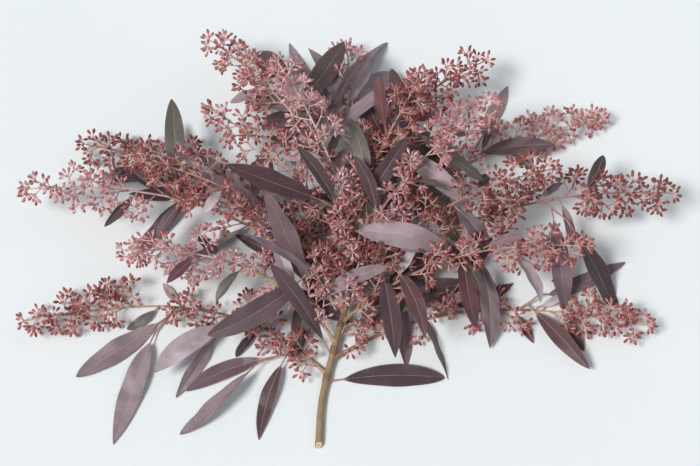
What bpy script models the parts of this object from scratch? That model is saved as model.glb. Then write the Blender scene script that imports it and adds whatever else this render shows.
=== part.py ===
"""A cut sprig of seeded eucalyptus with its gum nuts, lying on a table.

One forked woody stem carries narrow leaves on short petioles, and each of its twigs ends in a spray
of stalked, club-shaped gum nuts. The stem runs along +Y from its cut end, the twigs fan out to
both sides, and the table is the plane z = 0. Lengths are in metres.
"""

import math
import random

import bmesh
import bpy
from mathutils import Matrix, Quaternion, Vector
from mathutils.bvhtree import BVHTree

MM = 0.001
UP = Vector((0, 0, 1))
JOINT_GAP = 0.3 * MM
FLAT_ANGLE = math.radians(0.8)

# The woody stem: hand-chosen points from the cut end to the tip, in millimetres.
STEM_ROUTE = (
    (-24, -214, 2.8),
    (-21, -172, 2.8),
    (-10, -124, 8),
    (3, -76, 18),
    (6, -25, 28),
    (1, 12, 34),
    (4, 38, 38),
)
STEM_RADIUS = 3.1 * MM
STEM_TIP_RADIUS = 1.7 * MM
STEM_SAMPLES = 13
FOOT_DEPTH = 0.3 * MM
# The florist's cut: how far above the stem's centre its plane passes, and where it faces.
CUT_STEP = 2 * MM
CUT_FACING = Vector((0.1, -1, 0.75))

# The fan of twigs. The outer twigs end on a dome, the inner ones stop short of it and stand higher.
FAN_MIDDLE = Vector((0, -52 * MM, 0))
FAN_HALF_WIDTH = 272 * MM
FAN_HEIGHT = 206 * MM
OUTER_TWIGS = 9
OUTER_ANGLE = 107
OUTER_ROOTS = (1, 0.26)
OUTER_TIP_HEIGHTS = (14, 40, 13, 44, 22, 46, 13, 38, 14)
OUTER_ARCH = (-24, 26, -44, 22, 4, 20, -44, 28, -24)
OUTER_SPRAY = 108 * MM
INNER_TWIGS = 8
INNER_ANGLE = 98
INNER_ROOTS = (0.76, 0.36)
INNER_REACH = 0.7
INNER_TIP_HEIGHTS = (52, 76, 62, 88, 72, 90, 64, 54)
INNER_ARCH = (30, 34, 24, 36, 26, 36, 28, 32)
INNER_SPRAY = 90 * MM
TWIG_RADIUS = 1.5 * MM
TWIG_TIP_RADIUS = 0.95 * MM
TWIG_END_HEIGHT = 1.4 * MM
TWIG_SAMPLES = 5

# Sprays of gum nuts. Every second stalk of the real spray is modelled, at its true size.
STALKS_PER_SPRAY = 14
STALK_STRIDE = 2
STALK_TURN = math.radians(137.5)
STALK_LENGTHS = (25 * MM, 7 * MM)
STALK_LEAN = math.radians(52)
STALK_RADIUS = 0.6 * MM
HEAD_RADIUS = 1.1 * MM
HEAD_POINT = 0.7 * MM
AXIS_RADIUS = 0.9 * MM
AXIS_TIP_RADIUS = 0.65 * MM
AXIS_SAMPLES = 4
AXIS_CLEARANCE = 1.9 * MM
LONGEST_AXIS = 0.62
HEAD_CLEARANCE = 8.5 * MM
NUTS_PER_HEAD = 4
NUT_LEAN = math.radians(50)
NUT_SHOULDER = 6.4 * MM
NUT_SHOULDER_RADIUS = 1.9 * MM
NUT_LENGTH = 9.2 * MM
NUT_CLEARANCE = 2.4 * MM

# Leaves: a petiole and a narrow blade, followed in small steps from the twig to the tip.
LEAF_LENGTHS = (52 * MM, 92 * MM)
LEAF_WIDTH_SHARES = (0.2, 0.27)
PETIOLE_LENGTH = 11 * MM
PETIOLE_HALF_WIDTH = 0.75 * MM
PETIOLE_HALF_DEPTH = 0.65 * MM
BLADE_HALF_DEPTH = 0.45 * MM
EDGE_HALF_DEPTH = 0.3 * MM
LEAF_CLEARANCE = 0.9 * MM
PETIOLE_STEPS = 8
BLADE_STEPS = 40
LEAF_STATIONS = (0, 8, 17, 28, 39)
LEAF_HANG = 0.34
LEAF_TRIES = 60
LEAF_MARGIN = 0.6 * MM

# What each twig carries below its spray, from its root up: the leaves of a side shoot, or 1 for a
# leaf of its own.
OUTER_LEAVES = (3, 2, 2)
INNER_LEAVES = (2,)
STEM_LEAVES = ((0.22, 1), (0.31, -1), (0.4, 1), (0.52, -1), (0.62, 1), (0.72, -1))
LEAF_START = 30 * MM
LEAF_STOP = 8 * MM
SHOOT_LENGTHS = (22 * MM, 16 * MM)
SHOOT_CLEARANCE = 1.2 * MM
SHOOT_RADIUS = 0.8 * MM
SHOOT_TIP_RADIUS = 0.7 * MM


def share(low, high, part):
    """The value a part of the way from low to high."""
    return low + (high - low) * part


def smooth_route(points, count):
    """Evenly timed points on a Catmull-Rom curve through the given ones."""
    ends = [2 * points[0] - points[1], *points, 2 * points[-1] - points[-2]]
    route = []
    for n in range(count + 1):
        place = n / count * (len(points) - 1)
        k = min(int(place), len(points) - 2)
        t = place - k
        a, b, c, d = ends[k : k + 4]
        cubic = (3 * b - a - 3 * c + d) * t**3
        route.append(0.5 * (2 * b + (c - a) * t + (2 * a - 5 * b + 4 * c - d) * t * t + cubic))
    return route


def arc_route(start, control, end, count):
    """Points on the curve that leaves start towards control and arrives at end."""
    route = []
    for n in range(count + 1):
        t = n / count
        route.append(start.lerp(control, t).lerp(control.lerp(end, t), t))
    return route


def length_of(route):
    return sum((b - a).length for a, b in zip(route, route[1:]))


def at_distance(route, distance):
    """The point this far along a route, and the route's direction there."""
    for a, b in zip(route, route[1:]):
        step = (b - a).length
        if distance <= step:
            return a.lerp(b, distance / step), (b - a).normalized()
        distance -= step
    return route[-1].copy(), (b - a).normalized()


def stretch(route, begin, end, count):
    """The part of a route between two distances, as evenly spaced points."""
    return [at_distance(route, share(begin, end, n / count))[0] for n in range(count + 1)]


def lifted(point, lowest):
    """The point, raised to at least this height above the table."""
    return Vector((point.x, point.y, max(point.z, lowest)))


def stem_route():
    route = smooth_route([Vector(p) * MM for p in STEM_ROUTE], STEM_SAMPLES)
    return [lifted(p, STEM_RADIUS - FOOT_DEPTH) for p in route]


def twig_routes(stem):
    """The outer and inner twigs, each as (wood points, spray axis points, leaves on its places)."""
    draw = random.Random(5)
    stem_length = length_of(stem)
    twigs = []
    for tier in range(2):
        count = (OUTER_TWIGS, INNER_TWIGS)[tier]
        widest = (OUTER_ANGLE, INNER_ANGLE)[tier]
        for n in range(count):
            fan = math.radians(share(-widest, widest, n / (count - 1)) + draw.uniform(-5, 5))
            spread = min(abs(fan) / math.radians(widest), 1)
            root_share = share(*(OUTER_ROOTS, INNER_ROOTS)[tier], spread) + 0.03 * math.copysign(1, fan)
            root, growth = at_distance(stem, stem_length * min(root_share, 1))
            away = Vector((FAN_HALF_WIDTH * math.sin(fan), FAN_HEIGHT * math.cos(fan), 0))
            tip = FAN_MIDDLE + away * (1, INNER_REACH)[tier] * draw.uniform(0.93, 1.04)
            tip.z = (OUTER_TIP_HEIGHTS, INNER_TIP_HEIGHTS)[tier][n] * MM
            heading = ((tip - root).normalized() + 0.75 * growth).normalized()
            control = root + heading * 0.5 * (tip - root).length
            control.z = root.z + (OUTER_ARCH, INNER_ARCH)[tier][n] * MM
            route = arc_route(root, control, tip, 40)
            whole = length_of(route)
            axis_length = (OUTER_SPRAY, INNER_SPRAY)[tier] * draw.uniform(0.88, 1.1)
            axis_length = min(axis_length, whole * LONGEST_AXIS)
            wood = stretch(route, 0, whole - axis_length, TWIG_SAMPLES)
            for k, point in enumerate(wood):
                radius = share(TWIG_RADIUS, TWIG_TIP_RADIUS, k / TWIG_SAMPLES)
                wood[k] = lifted(point, radius - FOOT_DEPTH)
            wood[-1] = lifted(wood[-1], TWIG_END_HEIGHT)
            axis = stretch(route, whole - axis_length, whole, AXIS_SAMPLES)
            onward = (wood[-1] - wood[-2]).normalized()
            joint = [wood[-1] + onward * JOINT_GAP, wood[-1] + onward * 4 * MM]
            axis = joint + [lifted(p, AXIS_CLEARANCE + k * MM) for k, p in enumerate(axis[1:])]
            twigs.append((wood, axis, (OUTER_LEAVES, INNER_LEAVES)[tier]))
    return twigs


def leaf_places(stem, twigs):
    """Where leaves and shoots leave the wood: (number of leaves, place on the wood).

    A place is the point, the direction of what it is on, the radius of that, and the side.
    """
    places = []
    for wood, _, leaves in twigs:
        reach = length_of(wood) - LEAF_STOP
        for n, count in enumerate(leaves):
            distance = share(LEAF_START, reach, n / max(len(leaves) - 1, 1))
            point, growth = at_distance(wood, distance)
            radius = share(TWIG_RADIUS, TWIG_TIP_RADIUS, distance / length_of(wood))
            places.append((count, (point, growth, radius, 1 if (n + len(places)) % 2 else -1)))
    for along, side in STEM_LEAVES:
        point, growth = at_distance(stem, length_of(stem) * along)
        places.append((1, (point, growth, share(STEM_RADIUS, STEM_TIP_RADIUS, along), side)))
    return places


def leaving(draw, place, leans, climbs):
    """The direction and the starting point of something that leaves the wood at a place."""
    point, growth, radius, side = place
    lean = math.radians(draw.uniform(*leans))
    climb = math.radians(draw.uniform(*climbs))
    sideways = growth.cross(UP).normalized() * side
    outward = sideways * math.cos(climb) + UP * math.sin(climb)
    heading = growth * math.cos(lean) + outward * math.sin(lean)
    heading = (heading + Vector((0, -LEAF_HANG * (1 - growth.y), 0))).normalized()
    if radius:
        off = (heading - growth * heading.dot(growth)).normalized()
        slant = abs(heading.dot(growth))
        point = point + off * (radius + JOINT_GAP + PETIOLE_HALF_WIDTH * slant)
    return point, heading


def shoot_route(number, attempt, count, place):
    """The centre line of a leafy side shoot, as points."""
    draw = random.Random(7000 + 100 * number + attempt)
    point, heading = leaving(draw, place, (38, 66), (-30, 40))
    length = SHOOT_LENGTHS[0] + SHOOT_LENGTHS[1] * (count - 2)
    bend = Vector((draw.uniform(-0.3, 0.3), draw.uniform(-0.3, 0.3), draw.uniform(-0.5, 0.1)))
    end = point + (heading + 0.5 * bend) * length
    route = arc_route(point, point + heading * 0.5 * length, end, count + 1)
    return [lifted(p, SHOOT_CLEARANCE) for p in route]


def shoot_places(count, route):
    """The places of a shoot's leaves: one on its tip (side 0), and the rest on alternate sides."""
    places = []
    whole = length_of(route)
    for n in range(count):
        point, growth = at_distance(route, whole * share(1, 0.3, n / max(count - 1, 1)))
        places.append((point, growth, 0, (0, 1, -1)[n] if n < 3 else 1))
    return places


def leaf_line(number, attempt, place):
    """A leaf's centre line in small steps: (point, heading, direction across) at each.

    The number sets the leaf's size and curve, and the attempt sets how it stands on its twig.
    """
    form = random.Random(1000 + number)
    stand = random.Random(1000 * number + attempt)
    length = share(*LEAF_LENGTHS, form.random())
    sweep = form.uniform(-0.5, 0.5)
    twist = math.radians(form.uniform(-30, 30))
    point, heading = leaving(stand, place, (34, 68), (-35, 40))
    roll = math.radians(stand.gauss(0, 28))
    droop = stand.uniform(0.1, 1.0)
    across = heading.cross(UP).normalized()
    across = Quaternion(heading, roll) @ across
    line = []
    for n in range(PETIOLE_STEPS + BLADE_STEPS + 1):
        along = max(n - PETIOLE_STEPS, 0) / BLADE_STEPS
        across = (across - heading * across.dot(heading)).normalized()
        line.append((point.copy(), heading.copy(), Quaternion(heading, twist * along) @ across))
        step = length / BLADE_STEPS if n >= PETIOLE_STEPS else PETIOLE_LENGTH / PETIOLE_STEPS
        bend = across * sweep - UP * droop
        heading = (heading + bend * step / length).normalized()
        point = point + heading * step
        if point.z < LEAF_CLEARANCE:
            point.z = LEAF_CLEARANCE
            heading = Vector((heading.x, heading.y, max(heading.z, 0))).normalized()
    return line


def leaf_outline(along):
    """The blade's width at a share of its length, against its greatest width."""
    return along**0.7 * (1 - along) ** 0.95 / 0.3247


def leaf_sections(number, attempt, place, margin=0):
    """Six-cornered rings along a leaf: flat across the blade, and nearly round on the petiole."""
    form = random.Random(2000 + number)
    length = share(*LEAF_LENGTHS, random.Random(1000 + number).random())
    half_width = length * form.uniform(*LEAF_WIDTH_SHARES) / 2
    fold = math.radians(form.uniform(4, 20))
    wave = form.uniform(0.02, 0.07) * half_width * 2
    phase = form.uniform(0, math.tau)
    line = leaf_line(number, attempt, place)
    rings = []
    for n in LEAF_STATIONS:
        point, heading, across = line[n]
        normal = across.cross(heading)
        along = max(n - PETIOLE_STEPS, 0) / BLADE_STEPS
        half = half_width * leaf_outline(along)
        rim, middle = EDGE_HALF_DEPTH, BLADE_HALF_DEPTH
        if n <= PETIOLE_STEPS:
            half, rim, middle = PETIOLE_HALF_WIDTH, PETIOLE_HALF_DEPTH / 2, PETIOLE_HALF_DEPTH
        blade = leaf_outline(along)
        upper, lower = [], []
        for side in (-1, 0, 1):
            depth = (middle if side == 0 else rim) + margin
            ripple = wave * math.sin(phase + 15 * along + 2 * side) * abs(side) * blade
            raised = half * math.sin(fold) * abs(side) * (n > PETIOLE_STEPS) + ripple
            spot = point + across * side * (half + margin) * math.cos(fold) + normal * raised
            spot = lifted(spot, LEAF_CLEARANCE)
            upper.append(spot + normal * depth)
            lower.append(spot - normal * depth)
        rings.append(upper + lower[::-1])
    return rings, line[-1][0]


def lofted(rings, tip):
    """A closed body through rings of six corners to a tip. Both faces of a blade fold alike."""
    body = bmesh.new()
    loops = [[body.verts.new(corner) for corner in ring] for ring in rings]
    sides = len(loops[0])
    for first, second in zip(loops, loops[1:]):
        for n in range(sides):
            m = (n + 1) % sides
            if n < sides // 2:
                split = ((first[n], first[m], second[m]), (first[n], second[m], second[n]))
            else:
                split = ((first[n], first[m], second[n]), (first[m], second[m], second[n]))
            for corners in split:
                body.faces.new(corners)
    body.faces.new(loops[0])
    end = body.verts.new(tip)
    for n in range(sides):
        body.faces.new((loops[-1][n], loops[-1][(n + 1) % sides], end))
    bmesh.ops.recalc_face_normals(body, faces=body.faces)
    bmesh.ops.triangulate(body, faces=body.faces)
    return body


def material(name, colour, roughness):
    made = bpy.data.materials.new(name)
    made.use_nodes = True
    shader = made.node_tree.nodes["Principled BSDF"]
    shader.inputs["Base Color"].default_value = (*colour, 1)
    shader.inputs["Roughness"].default_value = roughness
    shader.inputs["Metallic"].default_value = 0
    made.diffuse_color = (*colour, 1)
    return made


def add_object(name, mesh, collection, finish):
    mesh.name = name
    mesh.materials.clear()
    mesh.materials.append(finish)
    made = bpy.data.objects.new(name, mesh)
    collection.objects.link(made)
    return made


def tube(points, first_radius, last_radius, bevel_resolution):
    """A tapering tube through the points, as a mesh with its caps joined to its sides."""
    curve = bpy.data.curves.new("tube", "CURVE")
    curve.dimensions = "3D"
    curve.bevel_depth = 1
    curve.bevel_resolution = bevel_resolution
    curve.use_fill_caps = True
    spline = curve.splines.new("POLY")
    spline.points.add(len(points) - 1)
    whole = length_of(points)
    done = 0
    for n, point in enumerate(points):
        done += (point - points[n - 1]).length if n else 0
        spline.points[n].co = (*point, 1)
        spline.points[n].radius = share(first_radius, last_radius, done / whole)
    guide = bpy.data.objects.new("tube", curve)
    bpy.context.scene.collection.objects.link(guide)
    graph = bpy.context.evaluated_depsgraph_get()
    mesh = bpy.data.meshes.new_from_object(guide.evaluated_get(graph))
    bpy.data.objects.remove(guide)
    body = bmesh.new()
    body.from_mesh(mesh)
    bmesh.ops.remove_doubles(body, verts=body.verts, dist=0.001 * MM)
    bmesh.ops.recalc_face_normals(body, faces=body.faces)
    body.to_mesh(mesh)
    body.free()
    return mesh


def pointing(start, end):
    """The matrix that stands something made along +Z on start, facing end."""
    aim = (end - start).to_track_quat("Z", "Y").to_matrix().to_4x4()
    return Matrix.Translation(start) @ aim


def joined(name, meshes, collection, finish):
    """One body from several that are sunk into each other."""
    tools = bpy.data.collections.new(name + "_parts")
    bpy.context.scene.collection.children.link(tools)
    first = add_object(name, meshes[0], collection, finish)
    for mesh in meshes[1:]:
        add_object(name + "_part", mesh, tools, finish)
    union = first.modifiers.new("join", "BOOLEAN")
    union.operation = "UNION"
    union.operand_type = "COLLECTION"
    union.collection = tools
    union.solver = "MANIFOLD"
    graph = bpy.context.evaluated_depsgraph_get()
    mesh = bpy.data.meshes.new_from_object(first.evaluated_get(graph))
    first.modifiers.clear()
    body = bmesh.new()
    body.from_mesh(mesh)
    bmesh.ops.dissolve_limit(body, angle_limit=FLAT_ANGLE, verts=body.verts, edges=body.edges)
    bmesh.ops.triangulate(body, faces=body.faces)
    body.to_mesh(mesh)
    body.free()
    first.data = mesh
    for tool in list(tools.objects):
        bpy.data.objects.remove(tool)
    bpy.data.collections.remove(tools)
    return first


def make_stem(stem, twigs, collection, finish):
    """The wood: the stem and its twigs, cut aslant, with a small flat wherever it rests."""
    meshes = [tube(stem, STEM_RADIUS, STEM_TIP_RADIUS, 2)]
    for wood, _, _ in twigs:
        meshes.append(tube(wood, TWIG_RADIUS, TWIG_TIP_RADIUS, 1))
    made = joined("stem", meshes, collection, finish)
    body = bmesh.new()
    body.from_mesh(made.data)
    for point, way in ((stem[0] + CUT_STEP * UP, CUT_FACING), (Vector(), -UP)):
        geometry = body.verts[:] + body.edges[:] + body.faces[:]
        bmesh.ops.bisect_plane(body, geom=geometry, plane_co=point, plane_no=way, clear_outer=True)
        bmesh.ops.holes_fill(body, edges=body.edges)
    bmesh.ops.recalc_face_normals(body, faces=body.faces)
    body.to_mesh(made.data)
    body.free()
    return made


def head_mesh(root, end):
    """A side stalk with its nuts, which are drawn out of the facets of its pointed end."""
    body = bmesh.new()
    length = (end - root).length
    bmesh.ops.create_cone(
        body,
        cap_ends=True,
        segments=NUTS_PER_HEAD,
        radius1=STALK_RADIUS,
        radius2=HEAD_RADIUS,
        depth=length,
        matrix=Matrix.Translation((0, 0, length / 2)),
    )
    top = max(body.faces, key=lambda face: face.calc_center_median().z)
    facets = bmesh.ops.poke(body, faces=[top], offset=HEAD_POINT)["faces"]
    body.transform(pointing(root, end))
    axis = (end - root).normalized()
    for facet in facets:
        middle = facet.calc_center_median()
        across = middle - end
        across = (across - axis * across.dot(axis)).normalized()
        way = across * math.sin(NUT_LEAN) + axis * math.cos(NUT_LEAN)
        way = (lifted(middle + way * NUT_LENGTH, NUT_CLEARANCE) - middle).normalized()
        facet = bmesh.ops.extrude_discrete_faces(body, faces=[facet])["faces"][0]
        for corner in facet.verts:
            spoke = corner.co - middle
            spoke = (spoke - way * spoke.dot(way)).normalized()
            corner.co = middle + way * NUT_SHOULDER + spoke * NUT_SHOULDER_RADIUS
        cap = bmesh.ops.poke(body, faces=[facet])["verts"][0]
        cap.co = middle + way * NUT_LENGTH
    bmesh.ops.recalc_face_normals(body, faces=body.faces)
    mesh = bpy.data.meshes.new("head")
    body.to_mesh(mesh)
    body.free()
    return mesh


def stalk_ends(axis):
    """The root and end of each stalk of a whole spray, and of the head on its tip."""
    whole = length_of(axis)
    ends = []
    for n in range(STALKS_PER_SPRAY):
        place = n / (STALKS_PER_SPRAY - 1)
        root, growth = at_distance(axis, whole * share(0.1, 0.93, place))
        turn = n * STALK_TURN
        aside = Vector((math.cos(turn), math.sin(turn), 0)) * math.sin(STALK_LEAN)
        way = growth.to_track_quat("Z", "Y") @ (aside + UP * math.cos(STALK_LEAN))
        end = root + way * share(*STALK_LENGTHS, place**0.8)
        ends.append((root, lifted(end, HEAD_CLEARANCE)))
    tip, growth = at_distance(axis, whole)
    ends.append((tip - growth * MM, tip + growth * 3 * MM))
    return ends


def mesh_tree(mesh):
    return BVHTree.FromPolygons([v.co for v in mesh.vertices], [p.vertices for p in mesh.polygons])


def is_clear(tree, others):
    return not any(tree.overlap(other) for other in others)


def make_spray(name, axis, others, collection, finish):
    """A spray: its axis, and on it the stalks that cross nothing made before."""
    meshes = [tube(axis, AXIS_RADIUS, AXIS_TIP_RADIUS, 0)]
    for n, (root, end) in enumerate(stalk_ends(axis)):
        if n % STALK_STRIDE == 0 or n == STALKS_PER_SPRAY:
            head = head_mesh(root, end)
            if is_clear(mesh_tree(head), others):
                meshes.append(head)
    return joined(name, meshes, collection, finish)


def leaf_mesh(number, attempt, place, margin=0):
    body = lofted(*leaf_sections(number, attempt, place, margin))
    mesh = bpy.data.meshes.new("leaf")
    body.to_mesh(mesh)
    body.free()
    return mesh


def free_leaf(number, place, wood, others):
    """A leaf in the first way of standing in which it crosses nothing made before, or None."""
    for attempt in range(LEAF_TRIES):
        mesh = leaf_mesh(number, attempt, place)
        if is_clear(mesh_tree(mesh), [wood]):
            if is_clear(mesh_tree(leaf_mesh(number, attempt, place, LEAF_MARGIN)), others):
                return mesh
    return None


def free_shoot(number, count, place, wood, others):
    """A side shoot with its leaves, as meshes. The first way of standing that fits is kept."""
    for attempt in range(LEAF_TRIES):
        route = shoot_route(number, attempt, count, place)
        shoot = tube(route, SHOOT_RADIUS, SHOOT_TIP_RADIUS, 0)
        if not is_clear(mesh_tree(shoot), [wood] + others):
            continue
        leaves = []
        for n, spot in enumerate(shoot_places(count, route)):
            near = others + [mesh_tree(leaf) for leaf in leaves]
            leaf = free_leaf(10 * number + n, spot, wood, near)
            if leaf:
                leaves.append(leaf)
        if len(leaves) == count:
            return [shoot] + leaves
    return []


def centre_on_table(objects):
    """Moves every piece so that the middle of the sprig's box is over the origin."""
    corners = [v.co for made in objects for v in made.data.vertices]
    middle_x = (min(c.x for c in corners) + max(c.x for c in corners)) / 2
    middle_y = (min(c.y for c in corners) + max(c.y for c in corners)) / 2
    for made in objects:
        made.data.transform(Matrix.Translation((-middle_x, -middle_y, 0)))


def build():
    for old in list(bpy.data.objects):
        bpy.data.objects.remove(old)
    collection = bpy.data.collections.new("eucalyptus_sprig")
    bpy.context.scene.collection.children.link(collection)
    wood_finish = material("twig_wood", (0.30, 0.20, 0.15), 0.75)
    leaf_finish = material("leaf", (0.16, 0.10, 0.13), 0.5)
    nut_finish = material("gum_nut", (0.42, 0.13, 0.13), 0.6)
    twigs = twig_routes(stem_route())
    made = [make_stem(stem_route(), twigs, collection, wood_finish)]
    trees = [mesh_tree(made[0].data)]
    for number, (_, axis, _) in enumerate(twigs, 1):
        spray = make_spray(f"nut_spray_{number:02d}", axis, trees, collection, nut_finish)
        made.append(spray)
        trees.append(mesh_tree(spray.data))
    for number, (count, place) in enumerate(leaf_places(stem_route(), twigs), 1):
        if count == 1:
            leaf = free_leaf(10 * number, place, trees[0], trees[1:])
            piece = add_object(f"leaf_{number:02d}", leaf, collection, leaf_finish)
        else:
            meshes = free_shoot(number, count, place, trees[0], trees[1:])
            piece = joined(f"leafy_shoot_{number:02d}", meshes, collection, leaf_finish)
        made.append(piece)
        trees.append(mesh_tree(piece.data))
    centre_on_table(made)


build()
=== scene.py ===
import math
import random

import bmesh
import bpy
from mathutils import Matrix, Quaternion, Vector
from mathutils.bvhtree import BVHTree


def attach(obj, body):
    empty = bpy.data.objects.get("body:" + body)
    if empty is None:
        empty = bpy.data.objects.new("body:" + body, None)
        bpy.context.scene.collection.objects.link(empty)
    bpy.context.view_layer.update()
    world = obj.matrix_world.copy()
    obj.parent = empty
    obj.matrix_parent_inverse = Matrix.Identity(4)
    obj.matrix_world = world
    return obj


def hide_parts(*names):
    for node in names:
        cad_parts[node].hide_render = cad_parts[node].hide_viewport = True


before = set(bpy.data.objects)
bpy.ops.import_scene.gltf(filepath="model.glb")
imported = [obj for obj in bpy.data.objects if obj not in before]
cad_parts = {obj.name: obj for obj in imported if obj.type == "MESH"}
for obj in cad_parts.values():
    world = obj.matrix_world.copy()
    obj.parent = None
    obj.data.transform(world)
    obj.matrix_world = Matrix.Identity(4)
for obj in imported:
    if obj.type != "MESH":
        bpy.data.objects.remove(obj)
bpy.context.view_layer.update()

# The wood: one grown stem of young eucalyptus, forked into seventeen twigs and cut aslant at its
# foot. The bark is thin and streaked, with pale pores, and swells where a leaf or a twig leaves it.
# It lies on the underside of its foot and on four low twigs, and has a small flat at each place.

MM = 0.001
UP = Vector((0, 0, 1))
# How far the whole sprig is moved, so that the middle of its box is over the origin.
TO_MIDDLE = Vector((-1.37019, 24.72036, 0)) * MM
STEM_ROUTE = (
    (-24, -214, 2.8),
    (-21, -172, 2.8),
    (-10, -124, 8),
    (3, -76, 18),
    (6, -25, 28),
    (1, 12, 34),
    (4, 38, 38),
)
STEM_RADIUS = 3.1 * MM
STEM_TIP_RADIUS = 1.7 * MM
STEM_SAMPLES = 13
STEM_FINE_SAMPLES = 150
STEM_SIDES = 18
FOOT_DEPTH = 0.3 * MM
CUT_STEP = -2.5 * MM
CUT_FACING = Vector((0.1, -1, 0.75))
FAN_MIDDLE = Vector((0, -52 * MM, 0))
FAN_HALF_WIDTH = 272 * MM
FAN_HEIGHT = 206 * MM
# How far a twig's angle in the fan, in degrees, its reach and its spray's length may stray.
ANGLE_STRAY = 5
REACH_STRAY = (0.93, 1.04)
SPRAY_STRAY = (0.88, 1.1)
# The twigs of one side leave the stem a little before those of the other, and all at a slant.
SIDE_STEP = 0.03
SLANT = 0.75
OUTER_TWIGS = 9
OUTER_ANGLE = 107
OUTER_ROOTS = (1, 0.26)
OUTER_TIP_HEIGHTS = (14, 40, 13, 44, 22, 46, 13, 38, 14)
OUTER_ARCH = (-24, 26, -44, 22, 4, 20, -44, 28, -24)
OUTER_SPRAY = 108 * MM
INNER_TWIGS = 8
INNER_ANGLE = 98
INNER_ROOTS = (0.76, 0.36)
INNER_REACH = 0.7
INNER_TIP_HEIGHTS = (52, 76, 62, 88, 72, 90, 64, 54)
INNER_ARCH = (30, 34, 24, 36, 26, 36, 28, 32)
INNER_SPRAY = 90 * MM
TWIG_RADIUS = 1.5 * MM
TWIG_TIP_RADIUS = 0.95 * MM
TWIG_END_HEIGHT = 1.4 * MM
TWIG_SAMPLES = 5
TWIG_FINE_SAMPLES = 60
TWIG_SIDES = 10
# Where each twig's bark starts along the grain after the last one's, in metres.
TWIG_GRAIN_STEP = 0.37
TWIG_COLLAR = 0.9 * MM
COLLAR_REACH = 5.5 * MM
KNOT_SWELL = 0.24
KNOT_REACH = 1.9 * MM
SMOOTHEST_EDGE = math.radians(62)
JOINT_GAP = 0.3 * MM
AXIS_SAMPLES = 4
AXIS_CLEARANCE = 1.9 * MM
LONGEST_AXIS = 0.62
# What each twig carries from its root up: a shoot with so many leaves, or 1 for a single leaf.
OUTER_LEAVES = (3, 2, 2)
INNER_LEAVES = (2,)
STEM_LEAVES = ((0.22, 1), (0.31, -1), (0.4, 1), (0.52, -1), (0.62, 1), (0.72, -1))
LEAF_START = 30 * MM
LEAF_STOP = 8 * MM


def share(low, high, part):
    return low + (high - low) * part


def eased(part):
    part = min(max(part, 0), 1)
    return part * part * (3 - 2 * part)


def smooth_route(points, count):
    """Evenly timed points on a Catmull-Rom curve through the given ones."""
    ends = [2 * points[0] - points[1], *points, 2 * points[-1] - points[-2]]
    route = []
    for n in range(count + 1):
        place = n / count * (len(points) - 1)
        k = min(int(place), len(points) - 2)
        t = place - k
        a, b, c, d = ends[k : k + 4]
        cubic = (3 * b - a - 3 * c + d) * t**3
        route.append(0.5 * (2 * b + (c - a) * t + (2 * a - 5 * b + 4 * c - d) * t * t + cubic))
    return route


def arc_route(start, control, end, count):
    steps = (n / count for n in range(count + 1))
    return [start.lerp(control, t).lerp(control.lerp(end, t), t) for t in steps]


def length_of(route):
    return sum((b - a).length for a, b in zip(route, route[1:]))


def at_distance(route, distance):
    """The point this far along a route, and the route's direction there."""
    for a, b in zip(route, route[1:]):
        step = (b - a).length
        if distance <= step:
            return a.lerp(b, distance / step), (b - a).normalized()
        distance -= step
    return route[-1].copy(), (b - a).normalized()


def stretch(route, begin, end, count):
    return [at_distance(route, share(begin, end, n / count))[0] for n in range(count + 1)]


def nearest(spots, point):
    return min(spots, key=lambda spot: (spot - point).length)


def lifted(point, lowest):
    return Vector((point.x, point.y, max(point.z, lowest)))


def stem_route(samples):
    route = smooth_route([Vector(p) * MM for p in STEM_ROUTE], samples)
    return [lifted(p, STEM_RADIUS - FOOT_DEPTH) for p in route]


def twig_routes(stem):
    """Each twig as (points of its wood, points of its spray's axis, leaves on its places)."""
    draw = random.Random(5)
    stem_length = length_of(stem)
    twigs = []
    for tier in range(2):
        count = (OUTER_TWIGS, INNER_TWIGS)[tier]
        widest = (OUTER_ANGLE, INNER_ANGLE)[tier]
        for n in range(count):
            angle = share(-widest, widest, n / (count - 1))
            fan = math.radians(angle + draw.uniform(-ANGLE_STRAY, ANGLE_STRAY))
            spread = min(abs(fan) / math.radians(widest), 1)
            root_share = share(*(OUTER_ROOTS, INNER_ROOTS)[tier], spread)
            root_share += SIDE_STEP * math.copysign(1, fan)
            root, growth = at_distance(stem, stem_length * min(root_share, 1))
            away = Vector((FAN_HALF_WIDTH * math.sin(fan), FAN_HEIGHT * math.cos(fan), 0))
            tip = FAN_MIDDLE + away * (1, INNER_REACH)[tier] * draw.uniform(*REACH_STRAY)
            tip.z = (OUTER_TIP_HEIGHTS, INNER_TIP_HEIGHTS)[tier][n] * MM
            heading = ((tip - root).normalized() + SLANT * growth).normalized()
            control = root + heading * 0.5 * (tip - root).length
            control.z = root.z + (OUTER_ARCH, INNER_ARCH)[tier][n] * MM
            route = arc_route(root, control, tip, 40)
            whole = length_of(route)
            axis_length = (OUTER_SPRAY, INNER_SPRAY)[tier] * draw.uniform(*SPRAY_STRAY)
            axis_length = min(axis_length, whole * LONGEST_AXIS)
            wood = stretch(route, 0, whole - axis_length, TWIG_SAMPLES)
            for k, point in enumerate(wood):
                radius = share(TWIG_RADIUS, TWIG_TIP_RADIUS, k / TWIG_SAMPLES)
                wood[k] = lifted(point, radius - FOOT_DEPTH)
            wood[-1] = lifted(wood[-1], TWIG_END_HEIGHT)
            axis = stretch(route, whole - axis_length, whole, AXIS_SAMPLES)
            onward = (wood[-1] - wood[-2]).normalized()
            joint = [wood[-1] + onward * JOINT_GAP, wood[-1] + onward * 4 * MM]
            axis = joint + [lifted(p, AXIS_CLEARANCE + k * MM) for k, p in enumerate(axis[1:])]
            twigs.append((wood, axis, (OUTER_LEAVES, INNER_LEAVES)[tier]))
    return twigs


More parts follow.
